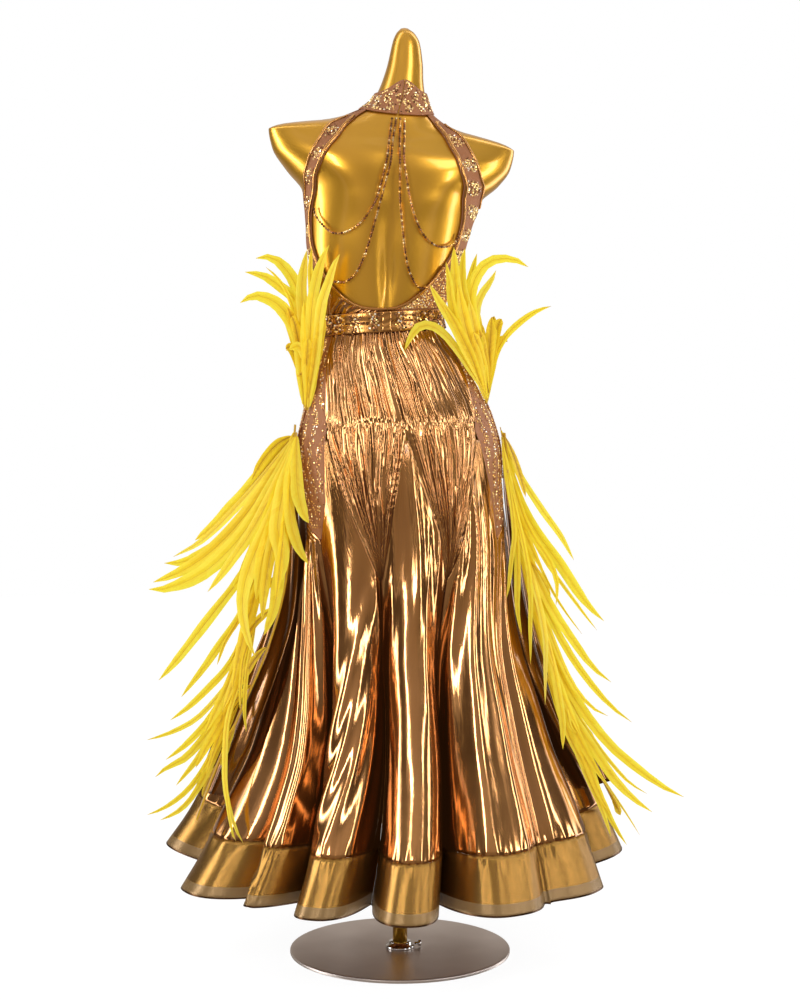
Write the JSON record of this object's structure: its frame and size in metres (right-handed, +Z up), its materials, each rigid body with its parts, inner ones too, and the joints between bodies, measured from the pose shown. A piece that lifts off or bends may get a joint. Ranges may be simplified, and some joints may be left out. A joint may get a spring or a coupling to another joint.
{
  "type": "ballroom dance dress on a dress form with a stand",
  "caption": "Floor-length backless ballroom dress with a fluted skirt, chains across the back and feathers, on a limbless dress form with a round base.",
  "frame": {"origin": "centre of the base disc's underside, where the stand meets the floor", "axes": "+Z up along the pole, +Y the way the wearer faces, +X towards the wearer's right"},
  "size_m": [0.908, 0.7347, 1.6154],
  "materials": {
    "lame": "metallic pleated lame",
    "stoned_mesh": "matt stretch mesh set with small stones",
    "hem_satin": "matt gold satin, stiffened",
    "dark_lame": "dark metallic lame",
    "feather": "yellow plumes",
    "form_gold": "glossy metallic gold paint",
    "polished_steel": "mirror polished",
    "chrome": "polished chrome",
    "rhinestones": "faceted stones in metal cups"
  },
  "bodies": {
    "root": {"base_disc": "polished_steel", "base_flange": "chrome", "clamp_screw": "chrome", "pole": "form_gold", "dress_form": "form_gold", "belt": "lame", "belt_tab": "lame", "lower_back_left": "lame", "binding_left": "lame", "binding_right": "lame", "yoke_back": "lame", "yoke_front": "lame", "point_back_left": "lame", "point_back_right": "lame", "point_front_left": "lame", "point_front_right": "lame", "skirt_back_centre": "lame", "skirt_back_left": "lame", "skirt_back_right": "lame", "skirt_front_centre": "lame", "skirt_side_left": "lame", "skirt_side_right": "lame", "collar": "stoned_mesh", "bodice_front": "stoned_mesh", "lower_back_right": "stoned_mesh", "shoulder_band_left": "stoned_mesh", "shoulder_band_right": "stoned_mesh", "leaf_panel_left": "stoned_mesh", "leaf_panel_right": "stoned_mesh", "cuff_left": "stoned_mesh", "cuff_right": "stoned_mesh", "hem_band_back_centre": "hem_satin", "hem_band_back_left": "hem_satin", "hem_band_back_right": "hem_satin", "hem_band_front_centre": "hem_satin", "hem_band_side_left": "hem_satin", "hem_band_side_right": "hem_satin", "float_left": "dark_lame", "float_right": "dark_lame", "feathers_left_up": "feather", "feathers_right_up": "feather", "feathers_left_down": "feather", "feathers_right_down": "feather", "chain_outer_left": "rhinestones", "chain_inner_left": "rhinestones", "chain_inner_right": "rhinestones", "chain_outer_right": "rhinestones"}
  },
  "joints": []
}
